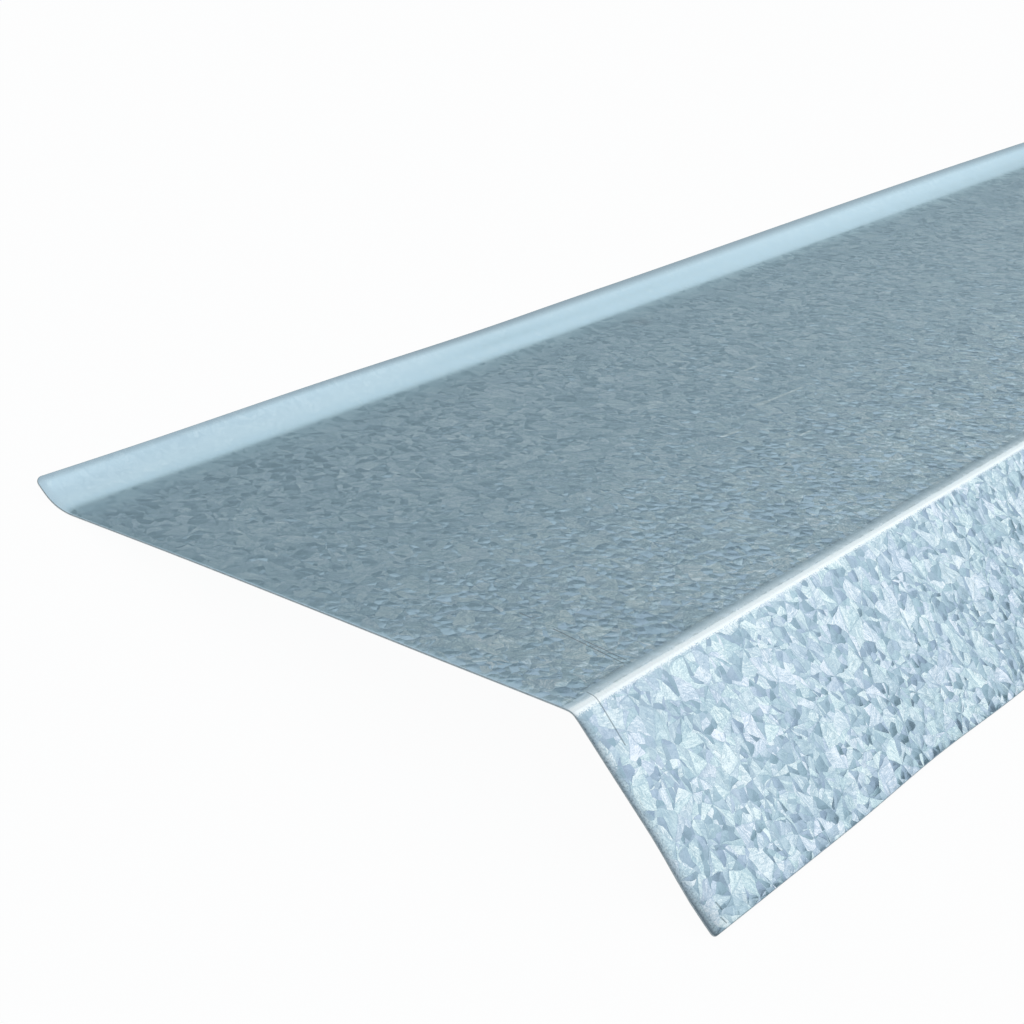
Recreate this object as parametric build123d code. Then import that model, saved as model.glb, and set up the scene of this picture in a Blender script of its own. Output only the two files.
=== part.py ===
from build123d import *
import math
import os

# Eaves flashing strip: one length of galvanised sheet steel, folded twice along its length.
# A wide flat web lies on the edge of the roof. The drip leg is folded down along its front
# and throws the water clear, and a narrow lip is turned up along its back to stop it there.
#
# Millimetres. +X runs along the strip, +Y from the drip leg towards the lip, and +Z is up.
# The strip lies as it would on a level floor, on the cut edge of its drip leg and on the
# outside of its lip fold. The origin is on the floor, at the middle of the strip.

# Driving dimensions

strip_length = 1000.0
sheet_thickness = 0.5

# Widths are measured on the weather face, to the corners that sharp folds would have.
web_width = 150.0
drip_width = 50.0
lip_width = 9.0

# Angles are how far the sheet is folded out of the plane of the web.
drip_angle = 45.0
lip_angle = 35.0

# Radii on the weather face: the outside of the drip fold and the inside of the lip fold.
drip_fold_radius = 3.0
lip_fold_radius = 18.0

# Rounding of the sheet's own corners, at both ends of the strip.
drip_corner_radius = 1.0
lip_corner_radius = 2.0


def section_points():
    """The weather face's four points, from the drip edge to the lip edge, with the web level."""
    drip_turn = math.radians(drip_angle)
    lip_turn = math.radians(lip_angle)
    drip_edge = Vector(-drip_width * math.cos(drip_turn), -drip_width * math.sin(drip_turn))
    front_corner = Vector(0, 0)
    back_corner = Vector(web_width, 0)
    lip_edge = Vector(lip_width * math.cos(lip_turn), lip_width * math.sin(lip_turn))
    return drip_edge, front_corner, back_corner, back_corner + lip_edge


def folded_sheet():
    """The strip with its web level: the weather face's line, thickened downwards and drawn out."""
    with BuildPart() as strip:
        with BuildSketch(Plane.YZ):
            with BuildLine():
                FilletPolyline(section_points(), radius=[drip_fold_radius, lip_fold_radius])
                offset(amount=sheet_thickness, side=Side.RIGHT)
            make_face()
        extrude(amount=strip_length / 2, both=True)
        fillet(corner_edges(strip, Axis.Y.direction), lip_corner_radius)
        fillet(corner_edges(strip, -Axis.Y.direction), drip_corner_radius)
    return strip.part


def corner_edges(strip, side):
    """The two edges through the sheet's thickness, one at each end, furthest to that side."""
    cut_face = strip.faces().sort_by(Axis((0, 0, 0), side))[-1]
    return cut_face.edges().filter_by(Axis.X, reverse=True)


def rest_tilt():
    """How far the strip tips back, in degrees, from web level to lying on the floor."""
    drip_edge = section_points()[0]
    drip_turn = math.radians(drip_angle)
    under_face = Vector(math.sin(drip_turn), -math.cos(drip_turn)) * sheet_thickness
    lip_fold_inset = lip_fold_radius * math.tan(math.radians(lip_angle / 2))
    lip_fold_centre = Vector(web_width - lip_fold_inset, lip_fold_radius)
    reach = lip_fold_centre - (drip_edge + under_face)
    outside_radius = lip_fold_radius + sheet_thickness
    return math.degrees(math.atan2(reach.Y, reach.X) - math.asin(outside_radius / reach.length))


def laid_on_floor(sheet):
    """Tips the sheet back onto its lip fold and puts the origin on the floor below its middle."""
    tipped = Rot(X=-rest_tilt()) * sheet
    box = tipped.bounding_box()
    return Pos(-box.center().X, -box.center().Y, -box.min.Z) * tipped


flashing_strip = laid_on_floor(folded_sheet())

os.makedirs("parts", exist_ok=True)
export_step(flashing_strip, "parts/flashing_strip.step")
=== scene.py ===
import math

import bmesh
import bpy
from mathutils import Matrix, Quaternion, Vector


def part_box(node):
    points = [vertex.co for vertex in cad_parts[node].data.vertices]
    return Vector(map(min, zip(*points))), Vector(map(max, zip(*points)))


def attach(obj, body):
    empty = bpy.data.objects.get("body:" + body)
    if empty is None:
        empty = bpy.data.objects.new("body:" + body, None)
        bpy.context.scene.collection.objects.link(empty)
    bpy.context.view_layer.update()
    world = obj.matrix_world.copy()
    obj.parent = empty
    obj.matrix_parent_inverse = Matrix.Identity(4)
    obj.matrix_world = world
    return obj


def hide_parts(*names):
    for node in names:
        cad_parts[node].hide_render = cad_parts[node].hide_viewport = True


# Eaves flashing strip of galvanised sheet steel, lying on a white studio floor.
# Metres. +X runs along the strip, +Y from the drip leg towards the lip, and +Z is up.

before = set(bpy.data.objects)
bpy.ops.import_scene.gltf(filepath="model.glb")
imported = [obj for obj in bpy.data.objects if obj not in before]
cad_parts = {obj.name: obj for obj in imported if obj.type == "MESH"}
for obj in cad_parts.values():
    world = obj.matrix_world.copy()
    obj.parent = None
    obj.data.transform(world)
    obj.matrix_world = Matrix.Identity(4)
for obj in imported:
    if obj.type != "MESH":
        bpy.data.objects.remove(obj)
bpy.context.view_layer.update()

NODE = "flashing_strip"
MM = 0.001

# The sheet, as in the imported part

sheet_thickness = 0.5 * MM
web_width = 150.0 * MM
drip_width = 50.0 * MM
lip_width = 9.0 * MM
drip_angle = math.radians(45.0)
lip_angle = math.radians(35.0)
drip_fold_radius = 3.0 * MM
lip_fold_radius = 18.0 * MM
drip_corner_radius = 1.0 * MM
lip_corner_radius = 2.0 * MM

drip_inset = drip_fold_radius * math.tan(drip_angle / 2)
lip_inset = lip_fold_radius * math.tan(lip_angle / 2)

# The weather face unrolled, from the drip edge to the lip edge: name, length and turn to the left
RUNS = [
    ("drip", drip_width - drip_inset, 0.0),
    ("drip_fold", drip_fold_radius * drip_angle, -drip_angle),
    ("web", web_width - drip_inset - lip_inset, 0.0),
    ("lip_fold", lip_fold_radius * lip_angle, lip_angle),
    ("lip", lip_width - lip_inset, 0.0),
]
START = {}
unrolled_width = 0.0
for run_name, run_length, _ in RUNS:
    START[run_name] = unrolled_width
    unrolled_width += run_length

fold_middle = (START["drip_fold"] + START["web"]) / 2

box_low, box_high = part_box(NODE)
half_length = (box_high.x - box_low.x) / 2


def rest_tilt():
    """How far the strip tips back from web level, to lie on its drip edge and its lip fold."""
    drip_edge = Vector((-math.cos(drip_angle), -math.sin(drip_angle))) * drip_width
    under_face = Vector((math.sin(drip_angle), -math.cos(drip_angle))) * sheet_thickness
    lip_fold_centre = Vector((web_width - lip_inset, lip_fold_radius))
    reach = lip_fold_centre - drip_edge - under_face
    outside_radius = lip_fold_radius + sheet_thickness
    return math.atan2(reach.y, reach.x) - math.asin(outside_radius / reach.length)


drip_heading = drip_angle - rest_tilt()
drip_edge_place = Vector((box_low.y, box_low.z + sheet_thickness * math.cos(drip_heading)))


def advance(point, heading, length, turn):
    """The end of a run from a point, straight or along an arc that turns so far."""
    if turn == 0.0:
        return point + Vector((math.cos(heading), math.sin(heading))) * length
    across = (math.sin(heading + turn) - math.sin(heading)) / turn
    up = (math.cos(heading) - math.cos(heading + turn)) / turn
    return point + Vector((across, up)) * length


def weather_line(s):
    """The weather face's point and outward normal, as (y, z), so far from the drip edge."""
    point = drip_edge_place
    heading = drip_heading
    left = s
    for _, length, turn in RUNS:
        part = min(left, length)
        point = advance(point, heading, part, turn * part / length)
        heading += turn * part / length
        left -= part
        if left <= 0.0:
            break
    return point, Vector((-math.sin(heading), math.cos(heading)))


# Shape of the sheet

edge_inset = 0.20 * MM
# Round the cut edge from the weather face to the underside: distance outwards, depth
RIM = [
    (0.12 * MM, 0.03 * MM),
    (0.20 * MM, 0.13 * MM),
    (0.20 * MM, sheet_thickness - 0.04 * MM),
    (0.16 * MM, sheet_thickness),
]
shear_reach = 2.0 * MM
shear_drop = 0.10 * MM

# The lip's edge has a slow wave, and a ripple near the near end
lip_wave = 0.9 * MM
lip_wave_length = 0.50
lip_wave_lowest = 0.19
lip_ripple = 0.35 * MM
lip_ripple_length = 0.14
lip_ripple_lowest = 0.03
lip_ripple_end = 0.24
floor_clearance = 5 * MM

# The lip fold is eased open, more so away from the near end
lip_ease = 0.38 * MM
lip_ease_more = 0.65 * MM
lip_ease_middle = 199.5 * MM
lip_ease_reach = 10 * MM
lip_ease_start = 60 * MM
lip_ease_grows = 0.05
lip_ease_grown = 0.42
lip_ease_ends = 0.30

drip_wave = 0.4 * MM
drip_wave_length = 0.17
drip_wave_start = -0.02
web_wave = 0.12 * MM
web_wave_length = 0.31
web_wave_slant = 30.0
web_wave_fade = 40 * MM
web_crown = 0.25 * MM
fold_ease = 0.10 * MM
fold_ease_reach = 3.4 * MM

# The shears pushed out the near end's drip corner, and cut the drip edge short further on
corner_bulge = 0.9 * MM
corner_bulge_place = 7 * MM
corner_bulge_reach = 16 * MM
corner_bulge_depth = 25 * MM
short_cut = 0.58 * MM
short_cut_place = 0.091
short_cut_reach = 0.040
short_cut_depth = 12 * MM


def smooth(value, low, high):
    """0 below low, 1 above high, and a smooth step between them."""
    t = min(1.0, max(0.0, (value - low) / (high - low)))
    return t * t * (3.0 - 2.0 * t)


def hump(value, middle, reach):
    """1 in the middle, falling smoothly to 0 at that distance from it."""
    share = min(1.0, abs(value - middle) / reach)
    return math.cos(math.pi / 2 * share) ** 2


def phase(distance, start, length):
    """How far a wave of that length has turned, in radians, at a distance along the strip."""
    return (distance - start) * 2 * math.pi / length


def lip_lift(s, from_near_end):
    """The slow wave and the ripple of the lip's edge."""
    share = smooth(s, START["lip_fold"] + floor_clearance, unrolled_width)
    slow = -math.cos(phase(from_near_end, lip_wave_lowest, lip_wave_length))
    ripple = -math.cos(phase(from_near_end, lip_ripple_lowest, lip_ripple_length))
    ripple *= smooth(lip_ripple_end - from_near_end, 0.0, lip_ripple_length / 2)
    return share * (slow * lip_wave + ripple * lip_ripple)


def lip_opening(s, from_near_end, from_far_end):
    """How far the lip fold is eased open, down to nothing at both ends of the strip."""
    opened = lip_ease + smooth(from_near_end, lip_ease_grows, lip_ease_grown) * lip_ease_more
    opened *= smooth(from_near_end, 0.0, lip_ease_start) * smooth(from_far_end, 0.0, lip_ease_ends)
    return hump(s, lip_ease_middle, lip_ease_reach) * opened


def drip_lift(s, from_near_end):
    """The wave of the drip edge."""
    share = smooth(drip_width - s, 0.0, drip_width)
    line = 0.5 + 0.5 * math.sin(phase(from_near_end, drip_wave_start, drip_wave_length))
    return share * line * drip_wave


def web_lift(s, x):
    """The web's crown and its slanting waves."""
    on_web = min(1.0, max(0.0, (s - START["web"]) / (START["lip_fold"] - START["web"])))
    share = smooth(s, START["web"], START["web"] + web_wave_fade)
    share *= smooth(START["lip_fold"] - s, 0.0, web_wave_fade)
    line = math.sin(phase(x, 0.0, web_wave_length) + s * web_wave_slant)
    return math.sin(math.pi * on_web) * web_crown + share * line * web_wave


def wave(s, x):
    """How far the sheet stands off its true section, which hand-fed folding leaves a little wavy."""
    from_near_end = x + half_length
    from_far_end = half_length - x
    lift = lip_lift(s, from_near_end) + lip_opening(s, from_near_end, from_far_end)
    lift += drip_lift(s, from_near_end) + web_lift(s, x)
    return lift - hump(s, fold_middle, fold_ease_reach) * fold_ease


# Grid over the unrolled sheet

flat_step = 5 * MM
ease_step = 0.4 * MM
drip_fold_step = 0.25 * MM
lip_fold_step = 0.8 * MM
lip_step = 1.2 * MM
corner_step = 15
after_drip_corner = 1.6 * MM
flat_start = 3.0 * MM
END_LINES = [0.0, 0.25 * MM, 0.6 * MM, 1.1 * MM, 1.8 * MM, 3.0 * MM]
step_slack = 1e-6


def lines(start, end, step):
    """Even steps from start to end, without the end, none longer than step."""
    count = max(1, math.ceil((end - start) / step - step_slack))
    return [start + (end - start) * k / count for k in range(count)]


def corner_steps(radius):
    """Distances from the cut edge at which a rounded corner needs a grid line."""
    inner = radius - edge_inset
    angles = range(0, 90 + corner_step, corner_step)
    return [inner * (1.0 - math.cos(math.radians(angle))) for angle in angles]


def grid_across():
    """Grid lines across the unrolled sheet, close together on the folds and at the edges."""
    fold_low = fold_middle - fold_ease_reach
    fold_high = fold_middle + fold_ease_reach
    drip_steps = [edge_inset + d for d in corner_steps(drip_corner_radius)]
    lip_steps = [unrolled_width - edge_inset - d for d in reversed(corner_steps(lip_corner_radius))]
    across = drip_steps + [after_drip_corner]
    across += lines(flat_start, fold_low, flat_step)
    across += lines(fold_low, START["drip_fold"], ease_step)
    across += lines(START["drip_fold"], START["web"], drip_fold_step)
    across += lines(START["web"], fold_high, ease_step)
    across += lines(fold_high, START["lip_fold"], flat_step)
    across += lines(START["lip_fold"], START["lip"], lip_fold_step)
    across += lines(START["lip"], lip_steps[0], lip_step)
    return across + lip_steps


def grid_along():
    """Grid lines along the strip, close together at both cut ends."""
    end = half_length - edge_inset
    low = [-end + d for d in END_LINES]
    high = [end - d for d in reversed(END_LINES)]
    middle = lines(-end + flat_step, end - flat_step, flat_step)
    return low + middle + [end - flat_step] + high


def corner_inset(s):
    """How much shorter the strip is at a grid line that crosses its rounded corners."""
    drip_inner = drip_corner_radius - edge_inset
    lip_inner = lip_corner_radius - edge_inset
    from_drip = s - edge_inset
    from_lip = unrolled_width - edge_inset - s
    for inner, distance in ((drip_inner, from_drip), (lip_inner, from_lip)):
        if distance < inner:
            return inner - math.sqrt(max(0.0, inner ** 2 - (inner - distance) ** 2))
    return 0.0


def bulge(s, x):
    """How far the near end stands out beside the drip corner, where the shears pushed it."""
    at_end = smooth(-x, half_length - corner_bulge_depth, half_length)
    return hump(s, corner_bulge_place, corner_bulge_reach) * at_end * corner_bulge


def short(s, x):
    """How far the drip edge is cut short, where the shears wandered."""
    at_edge = smooth(short_cut_depth - s, 0.0, short_cut_depth)
    return hump(x + half_length, short_cut_place, short_cut_reach) * at_edge * short_cut


def sheet_point(s, x, depth):
    """A place in the sheet: so far across, so far along, and so deep below the weather face."""
    point, normal = weather_line(s + short(s, x))
    from_cut = min(s, unrolled_width - s, half_length - abs(x))
    drop = shear_drop * (1.0 - min(1.0, from_cut / shear_reach)) ** 2
    drop *= 1.0 - depth / sheet_thickness
    place = point + normal * (wave(s, x) - depth - drop)
    return Vector((x - bulge(s, x), place.x, place.y))


# Map for baking: the weather face in four tiles, the underside above them, and the rim in rows at the top
bake_gap = 0.006
tile_columns = 2
tile_rows = 2
bake_tiles = tile_columns * tile_rows
tile_across = 0.40
tile_along = (1.0 - (tile_columns + 1) * bake_gap) / tile_columns
under_low = tile_rows * tile_across + (tile_rows + 1) * bake_gap
under_height = 0.125
rim_low = under_low + under_height + bake_gap
rim_height = 0.010
rim_gap = 0.005
rim_step = rim_height + rim_gap
rim_end_length = 0.42
rim_far_end = 0.5


def bake_weather(s, x, tile, tile_start, tile_end):
    column = tile % tile_columns
    row = tile // tile_columns
    along = (x - tile_start) / (tile_end - tile_start)
    u = bake_gap + column * (tile_along + bake_gap) + along * tile_along
    v = bake_gap + row * (tile_across + bake_gap) + s / unrolled_width * tile_across
    return u, v


def bake_under(s, x):
    along = (x + half_length) / (2 * half_length)
    return bake_gap + along * (1.0 - 2 * bake_gap), under_low + s / unrolled_width * under_height


def bake_rim(s, x, side, depth_share):
    """Rows from below: the lip's edge, the drip edge, and both ends side by side."""
    if side in ("lip", "drip"):
        row = 0 if side == "lip" else 1
        u = bake_gap + (x + half_length) / (2 * half_length) * (1.0 - 2 * bake_gap)
    else:
        row = 2
        u = bake_gap if side == "near" else rim_far_end
        u += s / unrolled_width * rim_end_length
    return u, rim_low + row * rim_step + depth_share * rim_height


# The sheet's materials, by their places on the mesh
ZINC = 0
CUT = 1

# Where the underside's pattern is read, in mm along the strip beyond the weather face's
UNDER_SHIFT = 1500.0


def build_sheet():
    """The folded sheet as one closed mesh: weather face, underside and the cut edge all round."""
    across = grid_across()
    along = grid_along()
    columns = len(across)
    rows = len(along)
    end = half_length - edge_inset
    flat = {}
    for i, s in enumerate(across):
        shrink = (end - corner_inset(s)) / end
        for j, x in enumerate(along):
            flat[i, j] = (s, x * shrink)

    outline = [((i, 0), "near") for i in range(columns - 1)]
    outline += [((columns - 1, j), "lip") for j in range(rows - 1)]
    outline += [((i, rows - 1), "far") for i in range(columns - 1, 0, -1)]
    outline += [((0, j), "drip") for j in range(rows - 1, 0, -1)]

    made = bmesh.new()
    unrolled = made.loops.layers.uv.new("Unrolled")
    bake = made.loops.layers.uv.new("OFBake")
    where = {}

    def vertex(s, x, depth):
        v = made.verts.new(sheet_point(s, x, depth))
        where[v] = (s, x)
        return v

    top = {key: vertex(*flat[key], 0.0) for key in flat}
    under = {key: vertex(*flat[key], sheet_thickness) for key in flat}
    rings = [[top[key] for key, side in outline]]
    for outwards, depth in RIM:
        ring = []
        for k, (key, side) in enumerate(outline):
            before = Vector(flat[outline[k - 1][0]])
            after = Vector(flat[outline[(k + 1) % len(outline)][0]])
            tangent = (after - before).normalized()
            s, x = Vector(flat[key]) + Vector((tangent.y, -tangent.x)) * outwards
            ring.append(vertex(s, x, depth))
        rings.append(ring)
    rings.append([under[key] for key, side in outline])

    def face(corners, material, shift, bake_places):
        f = made.faces.new(corners)
        f.material_index = material
        f.smooth = True
        for loop, place in zip(f.loops, bake_places):
            s, x = where[loop.vert]
            loop[unrolled].uv = (s / MM, x / MM + shift)
            loop[bake].uv = place

    tile_cuts = [round((rows - 1) * k / bake_tiles) for k in range(bake_tiles + 1)]
    for tile in range(bake_tiles):
        first = tile_cuts[tile]
        last = tile_cuts[tile + 1]
        for j in range(first, last):
            for i in range(columns - 1):
                upwards = [(i, j), (i, j + 1), (i + 1, j + 1), (i + 1, j)]
                downwards = [(i, j), (i + 1, j), (i + 1, j + 1), (i, j + 1)]
                places = [bake_weather(*flat[key], tile, along[first], along[last]) for key in upwards]
                face([top[key] for key in upwards], ZINC, 0.0, places)
                places = [bake_under(*flat[key]) for key in downwards]
                face([under[key] for key in downwards], ZINC, UNDER_SHIFT, places)
    last_ring = len(rings) - 1
    for r in range(last_ring):
        for k, (key, side) in enumerate(outline):
            n = (k + 1) % len(outline)
            corners = [rings[r][k], rings[r][n], rings[r + 1][n], rings[r + 1][k]]
            depths = [r / last_ring, r / last_ring, (r + 1) / last_ring, (r + 1) / last_ring]
            places = [bake_rim(*where[v], side, depth) for v, depth in zip(corners, depths)]
            face(corners, CUT if 0 < r < last_ring - 1 else ZINC, 0.0, places)
    bmesh.ops.recalc_face_normals(made, faces=made.faces)
    mesh = bpy.data.meshes.new("flashing_sheet")
    made.to_mesh(mesh)
    made.free()
    sheet = bpy.data.objects.new("flashing_sheet", mesh)
    bpy.context.collection.objects.link(sheet)
    return sheet


# Shader trees

streak_core = 0.4


class Graph:
    """Adds nodes to a shader tree. A value given to a socket is a number, a colour or an output."""

    def __init__(self, tree):
        self.tree = tree
        self.tree.nodes.clear()

    def node(self, kind, inputs, **settings):
        made = self.tree.nodes.new("ShaderNode" + kind)
        for name, value in settings.items():
            setattr(made, name, value)
        for key, value in inputs.items():
            if isinstance(value, bpy.types.NodeSocket):
                self.tree.links.new(value, made.inputs[key])
            else:
                made.inputs[key].default_value = value
        return made

    def math(self, operation, a, b=0.0, c=0.0):
        return self.node("Math", {0: a, 1: b, 2: c}, operation=operation).outputs[0]

    def vector(self, operation, a, b=(0.0, 0.0, 0.0)):
        return self.node("VectorMath", {0: a, 1: b}, operation=operation).outputs[0]

    def measure(self, operation, a, b=(0.0, 0.0, 0.0)):
        return self.node("VectorMath", {0: a, 1: b}, operation=operation).outputs["Value"]

    def step(self, value, low, high, to_low=0.0, to_high=1.0):
        inputs = {0: value, 1: low, 2: high, 3: to_low, 4: to_high}
        return self.node("MapRange", inputs, interpolation_type="SMOOTHSTEP").outputs[0]

    def mix(self, factor, a, b, blend="MIX"):
        made = self.node("Mix", {0: factor, 6: a, 7: b}, data_type="RGBA", blend_type=blend)
        return made.outputs[2]

    def cover(self, mask, share, tone, over):
        """A tone with that share of another laid over it where the mask is."""
        return self.mix(self.math("MULTIPLY", mask, share), tone, over)

    def join(self, x, y, z=0.0):
        return self.node("CombineXYZ", {0: x, 1: y, 2: z}).outputs[0]

    def split(self, vector):
        return self.node("SeparateXYZ", {0: vector}).outputs

    def parts(self, colour):
        return self.node("SeparateColor", {0: colour}).outputs

    def random(self, x, y, z):
        made = self.node("TexWhiteNoise", {"Vector": self.join(x, y, z)}, noise_dimensions="3D")
        return made.outputs["Value"], made.outputs["Color"]

    def noise(self, vector, scale, detail=2.0, roughness=0.5):
        inputs = {"Vector": vector, "Scale": scale, "Detail": detail, "Roughness": roughness}
        return self.node("TexNoise", inputs, noise_dimensions="2D")

    def cells(self, vector, scale):
        return self.node("TexVoronoi", {"Vector": vector, "Scale": scale}, voronoi_dimensions="2D")

    def ramp(self, value, stops):
        made = self.node("ValToRGB", {0: value})
        band = made.color_ramp.elements
        while len(band) < len(stops):
            band.new(1.0)
        for element, (place, colour) in zip(band, stops):
            element.position = place
            element.color = (*colour, 1.0)
        return made.outputs[0]

    def window(self, value, low, high, soft):
        rise = self.step(value, low - soft, low + soft)
        fall = self.step(value, high - soft, high + soft, 1.0, 0.0)
        return self.math("MULTIPLY", rise, fall)

    def total(self, *shares):
        """The sum of (value, weight) pairs."""
        sum_so_far = 0.0
        for value, weight in shares:
            sum_so_far = self.math("MULTIPLY_ADD", value, weight, sum_so_far)
        return sum_so_far

    def streak(self, place, start, end, width):
        """1 on a straight mark between two places, falling to 0 beside it."""
        span = Vector((end[0] - start[0], end[1] - start[1], 0.0))
        from_start = self.vector("SUBTRACT", place, (*start, 0.0))
        share = self.measure("DOT_PRODUCT", from_start, tuple(span / span.length_squared))
        share = self.node("Clamp", {0: share}).outputs[0]
        reached = self.node("VectorMath", {0: tuple(span), "Scale": share}, operation="SCALE")
        distance = self.measure("DISTANCE", from_start, reached.outputs[0])
        return self.step(distance, streak_core * width, width, 1.0, 0.0)

    def any_of(self, masks):
        most = masks[0]
        for mask in masks[1:]:
            most = self.math("MAXIMUM", most, mask)
        return most


# Galvanised finish. Places on the unrolled sheet are in mm: from the drip edge, and along from its middle.

fold_start = START["drip_fold"] / MM
fold_end = START["web"] / MM
lip_start = START["lip_fold"] / MM
lip_end = unrolled_width / MM

# Crystals: grains with arms, chips, and the noise that bends their edges
HALF = (0.5, 0.5, 0.5)
grain_size = 7.5
chip_size = 2.5
arms = 9.0
broken_arms = 0.62
chip_spread = 40.0
slow_bend = 1.5
slow_bend_scale = 0.22
quick_bend = 0.20
quick_bend_scale = 1.8
# How a grain's arms swing: waves round the grain, share of a turn, and the random value that shifts them
ARM_SWINGS = [(2.0, 0.045, 1), (3.0, 0.032, 2)]
barb_turn = 3.0
barb_stretch = (0.8, 2.6, 1.0)
frost_scale = 3.0
frost_detail = 3.0
frost_roughness = 0.65
# How far the crystals' faces lean, and the most that they lean towards the far end
facet_tilt = 0.085
facet_far_lean = 0.006


def spangle(g, place):
    """Zinc crystals: grains that split into wedges round their middles, some broken into chips."""
    slow = g.vector("SUBTRACT", g.noise(place, slow_bend_scale, 1.0).outputs["Color"], HALF)
    quick = g.vector("SUBTRACT", g.noise(place, quick_bend_scale, 2.0).outputs["Color"], HALF)
    bent = g.vector("ADD", place, g.vector("MULTIPLY", slow, (slow_bend, slow_bend, 0.0)))
    bent = g.vector("ADD", bent, g.vector("MULTIPLY", quick, (quick_bend, quick_bend, 0.0)))
    grains = g.cells(bent, 1.0 / grain_size)
    chips = g.cells(bent, 1.0 / chip_size)
    grain_pick = g.parts(grains.outputs["Color"])
    chip_pick = g.parts(chips.outputs["Color"])

    from_middle = g.vector("SUBTRACT", bent, grains.outputs["Position"])
    x, y, _ = g.split(from_middle)
    turn = g.math("DIVIDE", g.math("ARCTAN2", y, x), 2 * math.pi)
    for waves, share, shift in ARM_SWINGS:
        turned = g.math("MULTIPLY_ADD", turn, waves, grain_pick[shift])
        swing = g.math("SINE", g.math("MULTIPLY", turned, 2 * math.pi))
        turn = g.math("MULTIPLY_ADD", swing, share, turn)
    arm_place = g.math("MULTIPLY", g.math("ADD", turn, grain_pick[0]), arms)
    arm = g.math("FLOORED_MODULO", g.math("FLOOR", arm_place), arms)
    arm_value, _ = g.random(grain_pick[1], grain_pick[2], arm)
    broken = g.math("LESS_THAN", arm_value, broken_arms)
    chip = g.math("MULTIPLY", g.math("MULTIPLY", broken, chip_pick[0]), chip_spread)
    value, colour = g.random(grain_pick[1], grain_pick[2], g.math("ADD", arm, chip))
    pick = g.parts(colour)

    heading = g.math("MULTIPLY", g.math("ADD", arm_value, pick[1]), barb_turn)
    turned = g.node("VectorRotate", {"Vector": from_middle, "Angle": heading}, rotation_type="Z_AXIS")
    barbs = g.cells(g.vector("MULTIPLY", turned.outputs[0], barb_stretch), 1.0)
    lean = g.vector("MULTIPLY", g.vector("SUBTRACT", colour, HALF), (facet_tilt, facet_tilt, 0.0))
    lean = g.vector("MINIMUM", lean, (1.0, facet_far_lean, 1.0))
    edge = g.math("PINGPONG", arm_place, 0.5)
    arm_width = g.math("MULTIPLY", g.measure("LENGTH", from_middle), 2 * math.pi / arms)
    return {
        "value": value,
        "pick": pick,
        "barb": g.parts(barbs.outputs["Color"])[0],
        "frost": g.noise(bent, frost_scale, frost_detail, frost_roughness).outputs[0],
        "lean": g.vector("ADD", lean, (0.5, 0.5, 1.0)),
        "edge": g.math("MULTIPLY", edge, arm_width),
        "dome": chips.outputs["Distance"],
    }


# Tones of the crystals: shares of their own value and of the texture on them
value_share = 0.88
barb_share = 0.40
frost_share = 1.00
texture_shift = -0.70
level_shift = -0.03
feather_values = (0.30, 0.80)
feather_shares = (0.45, 1.0)
cloud_scale = 0.06
cloud_share = 0.35
# Painted shade along the grooves between the crystals' arms: width in mm, and how far the tone drops
groove_width = (0.04, 0.16)
groove_shade_depth = 0.25
ZINC_TONES = [
    (0.00, (0.36, 0.465, 0.545)),
    (0.30, (0.45, 0.565, 0.645)),
    (0.60, (0.57, 0.685, 0.74)),
    (0.85, (0.755, 0.84, 0.865)),
    (1.00, (0.89, 0.94, 0.94)),
]
ZINC_TINTS = [
    (0.0, (1.02, 0.98, 1.04)),
    (0.5, (1.0, 1.0, 1.0)),
    (1.0, (0.965, 1.005, 0.99)),
]
web_tint = 0.35


def crystal_tone(g, uv, across, crystals):
    """The crystals' own colours, with barbs and frost on them, and painted shade in dark lines along the
    grooves between their arms.
    """
    texture = g.total(
        (crystals["barb"], barb_share),
        (crystals["frost"], frost_share),
        (1.0, texture_shift),
    )
    feathered = g.step(crystals["value"], *feather_values, *feather_shares)
    texture = g.math("MULTIPLY", texture, feathered)
    level = g.total((crystals["value"], value_share), (texture, 1.0), (1.0, level_shift))
    cloud = g.noise(uv, cloud_scale, 1.0).outputs[0]
    level = g.math("MULTIPLY_ADD", g.math("SUBTRACT", cloud, 0.5), cloud_share, level)
    # Painted shade: darker along the grooves between arms, by a random share on each arm
    groove_shade = g.step(crystals["edge"], *groove_width, -groove_shade_depth, 0.0)
    level = g.math("ADD", level, g.math("MULTIPLY", groove_shade, crystals["pick"][0]))
    tone = g.ramp(level, ZINC_TONES)
    tint = g.ramp(crystals["pick"][2], ZINC_TINTS)
    return g.mix(g.step(across, fold_start, fold_end, 1.0, web_tint), tone, tint, "MULTIPLY")


# Wear: the back of the web is calmer, the lip and the ends have less spangle
calm_across = (64.0, 130.0)
calm_share = 0.54
plain_tone = (0.56, 0.69, 0.76, 1.0)
lip_soft = (8.0, 1.0)
lip_tone = (0.655, 0.815, 0.89, 1.0)
lip_share = 0.72
end_ragged = 2.0
rolled_width = (0.9, 2.8)
rolled_share = 0.5

# The fold is bright from rubbing, with a painted highlight along its crown, beside a pressed band on the
# web with painted shade that lightens towards the fold; the band is narrower at the ends
crown_ragged = 2.6
crown_inset = 0.1
crown_soft = 0.3
crown_highlight_share = 0.9
# Crown tones: zinc made bright by rubbing, with a painted highlight
CROWN_HIGHLIGHT_TONES = [
    (0.3, (0.92, 0.95, 0.93)),
    (0.7, (0.98, 0.98, 0.97)),
]
brush_stretch = (0.5, 2.5, 1.0)
pressed_width = 2.3
pressed_soft = 0.25
pressed_shading_share = 0.85
pressed_end = 8.0
pressed_end_soft = (0.8, 0.4)
pressed_end_narrower = 1.1
crease_gap = 0.1
crease_reach = 0.6
lighter_to_fold = 0.7
rub_brush = 0.3
rub_at_end = 0.25
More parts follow.
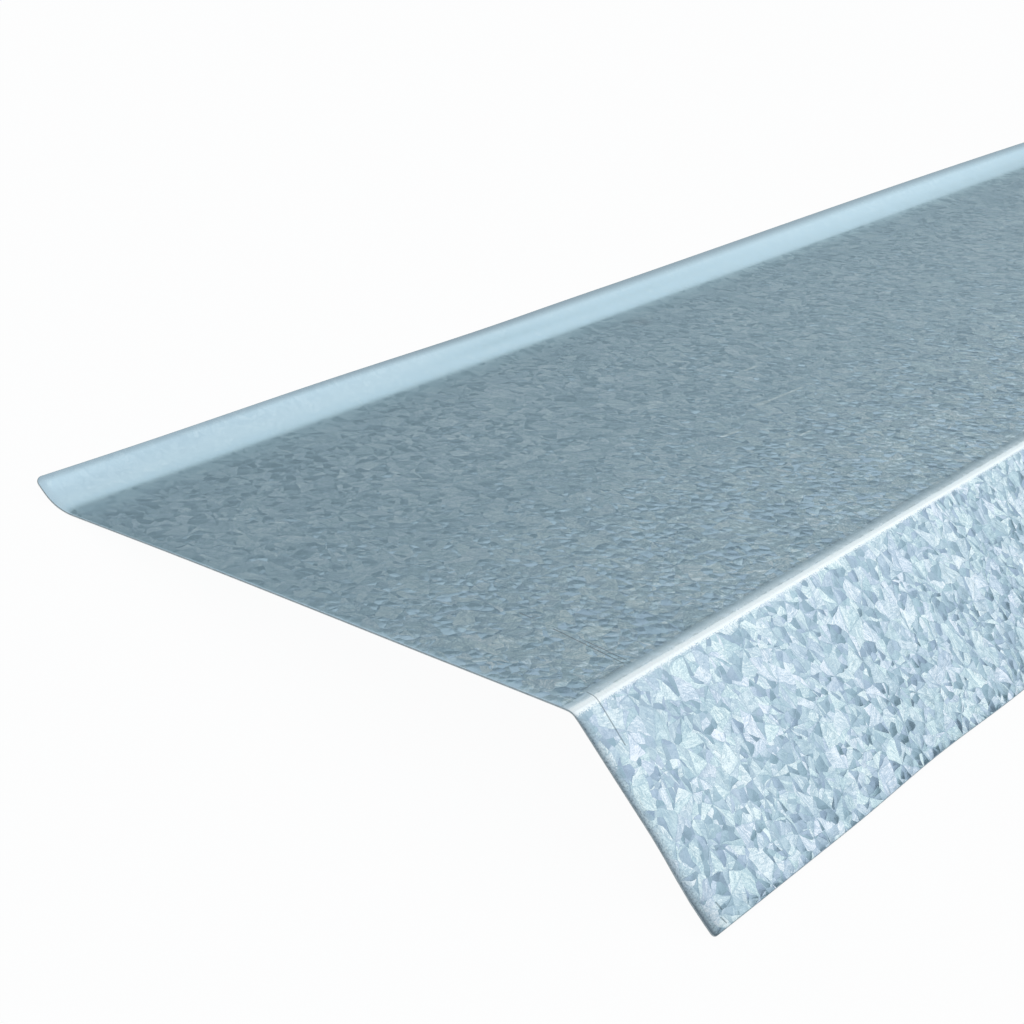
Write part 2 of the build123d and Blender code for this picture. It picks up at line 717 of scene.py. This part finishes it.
# Pressed band tones: zinc smoothed by rubbing, with painted shade that is lighter towards the fold
PRESSED_SHADING_TONES = [
    (0.1, (0.47, 0.555, 0.61)),
    (0.5, (0.61, 0.69, 0.735)),
    (0.9, (0.82, 0.87, 0.90)),
]

# Shade on the leg's sheared end, in its drip corner, in the crease and along the lip's edge
shade_tone = (0.16, 0.20, 0.23, 1.0)
leg_soft = (2.0, 1.0)
sheared_width = (0.2, 1.2)
speck_scale = 2.0
speck_detail = 3.0
speck_roughness = 0.7
speck_levels = (0.50, 0.62)
speck_width = (1.2, 3.6)
rolled_shade = 0.30
sheared_shade = 0.38
speck_shade = 0.30
corner_across = (2.0, 16.0)
corner_along = (1.5, 7.0)
corner_shade = 0.35
crease_shade = 0.30
lip_edge_start = 0.3
# Along the strip the lip's shaded edge grows from one width, and one depth of shade, to another
lip_edge_widens = (-460.0, -200.0)
lip_edge_widths = (2.4, 4.4)
lip_edge_darkens = (-480.0, -340.0)
lip_edge_shades = (0.36, 0.62)


def wear_and_painted_shade(g, uv, crystals):
    """Masks from 0 to 1: where the sheet has less spangle or is smoothed, the brush marks on its fold, and
    where painted shade and a painted highlight go: the leg's end, the drip corner, the crease, the lip's
    edge and the fold's crown.
    """
    across, along, _ = g.split(uv)
    from_end = g.math("SUBTRACT", g.math("ABSOLUTE", along), half_length / MM)
    from_end = g.math("ABSOLUTE", from_end)
    uneven = g.math("SUBTRACT", crystals["frost"], 0.5)
    # Distance from the cut end, made ragged: it places the rolled ends, the painted shade along them and
    # the painted shade in the drip corner
    ragged_from_end = g.math("MULTIPLY_ADD", uneven, end_ragged, from_end)
    ragged = g.math("MULTIPLY_ADD", uneven, crown_ragged, across)

    end_soft, end_hard = pressed_end_soft
    at_end = g.step(from_end, pressed_end - end_soft, pressed_end + end_hard, 1.0, 0.0)
    press_place = g.math("MULTIPLY_ADD", at_end, pressed_end_narrower, across)
    press_limit = fold_end + pressed_width
    # Painted shade in a thin line on the web just beyond the pressed band
    crease = g.window(press_place, press_limit + crease_gap, press_limit + crease_reach, pressed_soft)

    # Dark specks of painted shade near the cut ends, used on the leg
    specks = g.noise(uv, speck_scale, speck_detail, speck_roughness).outputs[0]
    specks = g.step(specks, *speck_levels)
    specks = g.math("MULTIPLY", specks, g.step(ragged_from_end, *speck_width, 1.0, 0.0))
    # Painted shade in the drip corner at both cut ends
    at_drip = g.step(across, *corner_across, 1.0, 0.0)
    at_corner = g.math("MULTIPLY", at_drip, g.step(ragged_from_end, *corner_along, 1.0, 0.0))

    # Painted shade along the lip's edge, wider and darker away from the near end
    lip_edge_reach = g.step(along, *lip_edge_widens, *lip_edge_widths)
    from_lip = g.math("SUBTRACT", lip_end, across)
    lip_edge = g.step(from_lip, lip_edge_start, lip_edge_reach, 1.0, 0.0)
    lip_edge = g.math("MULTIPLY", lip_edge, g.step(along, *lip_edge_darkens, *lip_edge_shades))
    return {
        "calm": g.math("MULTIPLY", g.step(across, *calm_across), calm_share),
        "on_leg": g.step(across, fold_start - leg_soft[0], fold_start + leg_soft[1], 1.0, 0.0),
        "on_lip": g.step(across, lip_start - lip_soft[0], lip_start + lip_soft[1]),
        "rolled": g.step(ragged_from_end, *rolled_width, 1.0, 0.0),
        "sheared": g.step(from_end, *sheared_width, 1.0, 0.0),
        "specks": specks,
        "at_corner": at_corner,
        "crown": g.window(ragged, fold_start + crown_inset, fold_end - crown_inset, crown_soft),
        "at_end": at_end,
        "pressed": g.window(press_place, fold_end, press_limit, pressed_soft),
        "to_fold": g.step(press_place, press_limit, fold_end),
        "crease": crease,
        "brush": g.noise(g.vector("MULTIPLY", uv, brush_stretch), 1.0, 2.0).outputs[0],
        "lip_edge": lip_edge,
    }


def worn_and_painted_light_tone(g, tone, worn_and_shaded):
    """The crystals' tone, with less spangle where the sheet is calm or smoothed, and with painted shade
    and a painted highlight laid over it.
    """
    tone = g.mix(worn_and_shaded["calm"], tone, plain_tone)
    tone = g.cover(worn_and_shaded["on_lip"], lip_share, tone, lip_tone)
    tone = g.cover(worn_and_shaded["rolled"], rolled_share, tone, plain_tone)
    # Painted shade on the pressed band, lighter towards the fold, with brush marks and at the ends
    rubbed_and_shaded = g.total(
        (worn_and_shaded["to_fold"], lighter_to_fold),
        (worn_and_shaded["brush"], rub_brush),
        (worn_and_shaded["at_end"], rub_at_end),
    )
    tone = g.cover(worn_and_shaded["pressed"], pressed_shading_share, tone, g.ramp(rubbed_and_shaded, PRESSED_SHADING_TONES))
    # Painted highlight along the fold's crown, on zinc made bright by rubbing
    tone = g.cover(worn_and_shaded["crown"], crown_highlight_share, tone, g.ramp(worn_and_shaded["brush"], CROWN_HIGHLIGHT_TONES))
    # Painted shade along the leg's rolled and sheared end, with dark specks in it
    leg_shade = g.total(
        (worn_and_shaded["rolled"], rolled_shade),
        (worn_and_shaded["sheared"], sheared_shade),
        (worn_and_shaded["specks"], speck_shade),
    )
    # Painted shade on the leg's end, in the drip corner, in the crease and along the lip's edge
    shade = g.total(
        (g.math("MULTIPLY", leg_shade, worn_and_shaded["on_leg"]), 1.0),
        (worn_and_shaded["at_corner"], corner_shade),
        (worn_and_shaded["crease"], crease_shade),
        (worn_and_shaded["lip_edge"], 1.0),
    )
    return g.mix(shade, tone, shade_tone)


# Marks of handling: where each one starts and ends, as (across, along), and its width
SCRATCHES = [
    ((74.4, -473.8), (54.4, -476.9), 0.28),
    ((66.7, -473.8), (54.8, -475.4), 0.24),
    ((84.2, -472.5), (81.1, -472.7), 0.32),
    ((81.1, -472.7), (80.0, -470.4), 0.28),
    ((52.5, -491.9), (48.7, -492.4), 0.20),
    ((48.7, -492.4), (39.3, -492.8), 0.20),
    ((3.4, -494.2), (5.0, -494.5), 0.25),
    ((0.9, -495.2), (2.2, -495.6), 0.22),
]
SCUFFS = [
    ((117.4, -322.9), (116.4, -302.1), 0.7),
    ((117.6, -323.5), (117.2, -319.5), 1.3),
    ((110.9, -352.3), (110.2, -344.5), 0.8),
    ((136.3, -300.0), (136.1, -295.0), 0.8),
    ((96.4, -337.0), (96.2, -332.0), 0.6),
]
scratch_tone = (0.16, 0.20, 0.22, 1.0)
scratch_share = 0.62
scuff_tone = (0.92, 0.96, 0.96, 1.0)
scuff_share = 0.65
smudge_place = (185.7, -282.2)
smudge_core = 1.5
smudge_size = 7.0
smudge_ragged = 3.0
smudge_tone = (0.20, 0.22, 0.24, 1.0)
smudge_share = 0.30


def marked_tone(g, uv, tone, crystals, scratched):
    """The tone so far, with the smudge, the scratches and the scuffs on it."""
    from_smudge = g.measure("DISTANCE", uv, (*smudge_place, 0.0))
    from_smudge = g.math("MULTIPLY_ADD", crystals["frost"], smudge_ragged, from_smudge)
    smudged = g.step(from_smudge, smudge_core, smudge_size, 1.0, 0.0)
    scuffed = g.any_of([g.streak(uv, *mark) for mark in SCUFFS])
    tone = g.cover(smudged, smudge_share, tone, smudge_tone)
    tone = g.cover(scratched, scratch_share, tone, scratch_tone)
    return g.cover(scuffed, scuff_share, tone, scuff_tone)


# Relief: how much wear smooths it, and the heights in mm
fold_smooth = 0.85
lip_smooth = 0.85
rolled_smooth = 0.4
calm_smooth = 0.6
least_relief = 0.05
ridge_width = 0.35
barb_height = 0.006
frost_height = 0.008
value_height = 0.010
ridge_height = 0.008
dome_height = -0.11
scratch_height = -0.03
zinc_roughness = (0.18, 0.26)


def relief(g, crystals, worn_and_shaded, scratched):
    """The surface's normal: each crystal's lean with fine relief on it, weaker on the fold, the lip, the
    rolled ends and the calm back of the web.
    """
    smoothed = g.total(
        (g.math("MAXIMUM", worn_and_shaded["crown"], worn_and_shaded["pressed"]), fold_smooth),
        (worn_and_shaded["on_lip"], lip_smooth),
        (worn_and_shaded["rolled"], rolled_smooth),
        (worn_and_shaded["calm"], calm_smooth),
    )
    strength = g.step(smoothed, 0.0, 1.0, 1.0, least_relief)
    leaning = g.node("NormalMap", {"Strength": strength, "Color": crystals["lean"]}, uv_map="Unrolled")
    height = g.total(
        (crystals["barb"], barb_height),
        (crystals["frost"], frost_height),
        (crystals["value"], value_height),
        (g.step(crystals["edge"], 0.0, ridge_width), ridge_height),
        (crystals["dome"], dome_height),
        (scratched, scratch_height),
    )
    inputs = {"Strength": strength, "Distance": MM, "Height": height, "Normal": leaning.outputs[0]}
    return g.node("Bump", inputs).outputs[0]


def metal(g, tone, roughness, **more):
    """The end of a bare metal's shader tree."""
    inputs = {"Base Color": tone, "Roughness": roughness, "Metallic": 1.0, **more}
    shader = g.node("BsdfPrincipled", inputs)
    g.node("OutputMaterial", {0: shader.outputs[0]})


def galvanised():
    """Hot-dip galvanised sheet: spangle, pressed fold with painted shade and a painted highlight, sheared
    ends, painted shade at the edges and in the crease, and marks of handling.
    """
    material = bpy.data.materials.new("galvanised")
    material.use_nodes = True
    g = Graph(material.node_tree)
    uv = g.node("UVMap", {}, uv_map="Unrolled").outputs[0]
    across, _, _ = g.split(uv)
    crystals = spangle(g, uv)
    worn_and_shaded = wear_and_painted_shade(g, uv, crystals)
    scratched = g.any_of([g.streak(uv, *mark) for mark in SCRATCHES])
    tone = crystal_tone(g, uv, across, crystals)
    tone = worn_and_painted_light_tone(g, tone, worn_and_shaded)
    tone = marked_tone(g, uv, tone, crystals, scratched)
    roughness = g.step(crystals["pick"][0], 0.0, 1.0, *zinc_roughness)
    metal(g, tone, roughness, Normal=relief(g, crystals, worn_and_shaded, scratched))
    return material


# Sheared edge
grit_scale = 900.0
grit_detail = 3.0
grit_levels = (0.3, 0.7)
cut_roughness = (0.35, 0.55)
CUT_TONES = [
    (0.3, (0.26, 0.31, 0.34)),
    (0.7, (0.42, 0.48, 0.51)),
]


def cut_edge():
    """Sheared edge: bare steel under the zinc."""
    material = bpy.data.materials.new("sheared_edge")
    material.use_nodes = True
    g = Graph(material.node_tree)
    place = g.node("TexCoord", {}).outputs["Object"]
    grit = g.node("TexNoise", {"Vector": place, "Scale": grit_scale, "Detail": grit_detail}).outputs[0]
    metal(g, g.ramp(grit, CUT_TONES), g.step(grit, *grit_levels, *cut_roughness))
    return material


sheet = build_sheet()
sheet.data.materials.append(galvanised())
sheet.data.materials.append(cut_edge())
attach(sheet, "root")
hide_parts(NODE)

# Floor and light

floor_size = 120.0
floor_drop = 0.05 * MM
floor_glow = 0.95
paper_tone = (0.9, 0.9, 0.9, 1.0)
white = (1.0, 1.0, 1.0, 1.0)


def build_floor():
    """A white floor that keeps the strip's shadow, and looks white to the camera and in reflections."""
    half = floor_size / 2
    mesh = bpy.data.meshes.new("studio_floor")
    corners = [(-half, -half, 0.0), (half, -half, 0.0), (half, half, 0.0), (-half, half, 0.0)]
    mesh.from_pydata(corners, [], [(0, 1, 2, 3)])
    floor = bpy.data.objects.new("studio_floor", mesh)
    floor.location.z = -floor_drop
    bpy.context.collection.objects.link(floor)
    material = bpy.data.materials.new("studio_white")
    material.use_nodes = True
    g = Graph(material.node_tree)
    path = g.node("LightPath", {}).outputs
    shown = g.any_of([path["Is Camera Ray"], path["Is Glossy Ray"], path["Is Transmission Ray"]])
    paper = g.node("BsdfDiffuse", {0: paper_tone}).outputs[0]
    glow = g.node("Emission", {0: white, 1: 1.0}).outputs[0]
    share = g.math("MULTIPLY", shown, floor_glow)
    surface = g.node("MixShader", {0: share, 1: paper, 2: glow}).outputs[0]
    g.node("OutputMaterial", {0: surface})
    floor.data.materials.append(material)
    return floor


build_floor()

lamp_aim = Vector((-0.35, -0.02, 0.0))


def softbox(name, azimuth, elevation, distance, width, height, power):
    """A soft rectangular lamp, in that direction from the strip's near part."""
    a = math.radians(azimuth)
    e = math.radians(elevation)
    way = Vector((math.cos(a) * math.cos(e), math.sin(a) * math.cos(e), math.sin(e)))
    data = bpy.data.lights.new(name, "AREA")
    data.shape = "RECTANGLE"
    data.size = width
    data.size_y = height
    data.energy = power
    lamp = bpy.data.objects.new(name, data)
    lamp.location = lamp_aim + way * distance
    lamp.rotation_mode = "QUATERNION"
    lamp.rotation_quaternion = (-way).to_track_quat("-Z", "Y")
    lamp.visible_camera = False
    bpy.context.collection.objects.link(lamp)


softbox("key_light", azimuth=-22.0, elevation=41.5, distance=6.0, width=4.4, height=3.0, power=9.0)
softbox("back_light", azimuth=160.0, elevation=45.0, distance=6.0, width=6.0, height=4.5, power=30.0)

# Surroundings: a bright ceiling above a dim band, which is a little lighter near the floor.
# The ceiling's edge comes down towards +X, and everything is a little brighter there.
edge_slope = 0.45
edge_middle = 0.74
edge_level_behind = 0.6
SURROUNDINGS = [
    (0.00, (0.34, 0.415, 0.455)),
    (0.21, (0.34, 0.415, 0.455)),
    (0.27, (0.235, 0.30, 0.32)),
    (0.355, (0.235, 0.30, 0.32)),
    (0.395, (0.76, 0.87, 0.92)),
    (0.48, (0.76, 0.86, 0.92)),
    (0.60, (0.85, 0.91, 0.945)),
    (0.74, (0.79, 0.865, 0.925)),
    (1.00, (0.81, 0.875, 0.925)),
]
brighter_from = (0.55, 0.90)
brightness = (0.91, 1.08)


def surround():
    world = bpy.data.worlds.new("studio")
    bpy.context.scene.world = world
    world.use_nodes = True
    g = Graph(world.node_tree)
    forward, _, height = g.split(g.node("TexCoord", {}).outputs["Generated"])
    front = g.math("MAXIMUM", forward, edge_level_behind)
    sloped = g.total((height, 1.0), (front, edge_slope), (1.0, -edge_slope * edge_middle))
    strength = g.step(forward, *brighter_from, *brightness)
    back = g.node("Background", {0: g.ramp(sloped, SURROUNDINGS), 1: strength}).outputs[0]
    g.node("OutputWorld", {0: back})


surround()

# Camera

camera_place = Vector((-0.77976, -0.21615, 0.24451))
camera_aim = Vector((-0.48595, -0.02491, 0.05189))
camera_roll = math.radians(12.024)
focal_length = 70.97
sensor_width = 36.0
nearest_seen = 0.01
furthest_seen = 200.0

lens = bpy.data.cameras.new("camera")
lens.sensor_width = sensor_width
lens.lens = focal_length
lens.clip_start = nearest_seen
lens.clip_end = furthest_seen
camera = bpy.data.objects.new("camera", lens)
camera.location = camera_place
camera.rotation_mode = "QUATERNION"
look = (camera_aim - camera_place).to_track_quat("-Z", "Y")
camera.rotation_quaternion = look @ Quaternion((0.0, 0.0, 1.0), camera_roll)
bpy.context.collection.objects.link(camera)
bpy.context.scene.camera = camera

bpy.context.scene.view_settings.view_transform = "Standard"

bpy.context.view_layer.update()
